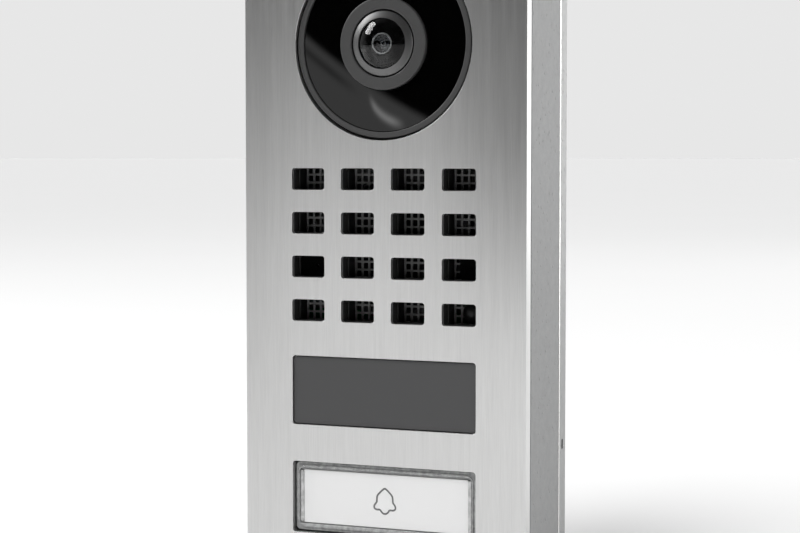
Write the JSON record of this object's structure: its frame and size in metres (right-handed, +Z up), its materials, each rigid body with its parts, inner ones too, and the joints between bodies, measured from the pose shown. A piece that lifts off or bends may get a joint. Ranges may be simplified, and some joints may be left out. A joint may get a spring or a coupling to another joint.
{
  "type": "door intercom panel",
  "caption": "Tall slim wall-mounted door station: round camera window with domed lens, slotted speaker grille, dark reader window and a wide push button with nameplate, on a box housing.",
  "frame": {"origin": "centre of the wall plate's rear face, where it meets the wall", "axes": "+Z up, +X to the right of a person facing the panel, +Y into the wall; the camera and the button face -Y"},
  "size_m": [0.075, 0.032, 0.172],
  "materials": {
    "steel_plate": "vertical brushed grain",
    "fastener_steel": "bright machined steel",
    "housing_paint": "fine grey powder coat",
    "wall_plate_paint": "smooth light grey paint",
    "black_rubber": "matte black rubber",
    "grey_rubber": "light grey silicone",
    "trim_plastic": "dark grey satin plastic",
    "window_plastic": "polished black",
    "barrel_metal": "satin anodised",
    "lens_glass": "coated optical glass",
    "black_plastic": "matte black moulding",
    "mesh_metal": "dark grey mesh",
    "reader_plastic": "semi-matte dark grey",
    "clear_plastic": "clear polished acrylic",
    "label_card": "matte white film",
    "diffuser_plastic": "translucent grey",
    "circuit_board": "green solder mask",
    "tin_plate": "tinned sheet",
    "copper": "enamelled copper winding",
    "magnet_steel": "zinc plated",
    "cone_paper": "dark pressed fibre",
    "led_resin": "moulded clear resin",
    "terminal_plastic": "green moulded plastic"
  },
  "bodies": {
    "panel": {"backlight_led_left": "led_resin", "backlight_led_right": "led_resin", "button_guide": "black_plastic", "cable_grommet": "black_rubber", "cable_seal_ring": "black_rubber", "camera_bezel": "trim_plastic", "camera_board": "circuit_board", "camera_window": "window_plastic", "filter_coil": "copper", "front_board": "circuit_board", "front_gasket": "grey_rubber", "front_lens": "lens_glass", "front_plate": "steel_plate", "housing": "housing_paint", "housing_screw_1": "fastener_steel", "housing_screw_2": "fastener_steel", "housing_screw_3": "fastener_steel", "housing_screw_4": "fastener_steel", "image_sensor": "black_plastic", "infrared_receiver": "window_plastic", "inner_carrier": "black_plastic", "inner_lens": "lens_glass", "ir_led_1": "led_resin", "ir_led_2": "led_resin", "ir_led_3": "led_resin", "ir_led_4": "led_resin", "ir_led_board": "circuit_board", "lens_barrel": "barrel_metal", "lens_holder": "black_plastic", "lens_shroud": "trim_plastic", "light_sensor": "black_plastic", "main_board": "circuit_board", "microphone": "tin_plate", "microphone_boot": "black_rubber", "processor_shield": "tin_plate", "reader_window": "reader_plastic", "return_spring_left": "fastener_steel", "return_spring_right": "fastener_steel", "security_screw": "fastener_steel", "speaker_basket": "black_plastic", "speaker_magnet": "magnet_steel", "speaker_mesh": "mesh_metal", "speaker_surround": "black_rubber", "switch_body_left": "black_plastic", "switch_body_right": "black_plastic", "terminal_block": "terminal_plastic", "wall_plate": "wall_plate_paint", "wall_seal": "black_rubber", "window_seal": "black_rubber"},
    "call_button": {"button_cap": "clear_plastic", "nameplate": "label_card", "button_diffuser": "diffuser_plastic"},
    "plunger_left": {"switch_plunger_left": "label_card"},
    "plunger_right": {"switch_plunger_right": "label_card"},
    "speaker_diaphragm": {"speaker_cone": "cone_paper", "voice_coil": "copper"},
    "filter_carriage": {"filter_shuttle": "black_plastic", "ir_cut_glass": "lens_glass", "clear_glass": "lens_glass"}
  },
  "joints": [
    {"name": "call_button_press", "type": "slide", "parent": "panel", "child": "call_button", "axis": [0, 1, 0], "range_m": [0, 0.0008], "stiffness_N_per_m": 2500, "deforming": ["return_spring_left", "return_spring_right"]},
    {"name": "switch_left_travel", "type": "slide", "parent": "panel", "child": "plunger_left", "axis": [0, 1, 0], "range_m": [0, 0.0006]},
    {"name": "switch_right_travel", "type": "slide", "parent": "panel", "child": "plunger_right", "axis": [0, 1, 0], "range_m": [0, 0.0006]},
    {"name": "speaker_cone_travel", "type": "slide", "parent": "panel", "child": "speaker_diaphragm", "axis": [0, 1, 0], "range_m": [-0.0005, 0.0005], "stiffness_N_per_m": 300},
    {"name": "filter_slide", "type": "slide", "parent": "panel", "child": "filter_carriage", "axis": [1, 0, 0], "range_m": [0, 0.0056]}
  ],
  "couplings": [
    {"joint": "switch_left_travel", "follows": "call_button_press", "ratio": 0.7},
    {"joint": "switch_right_travel", "follows": "call_button_press", "ratio": 0.7}
  ]
}
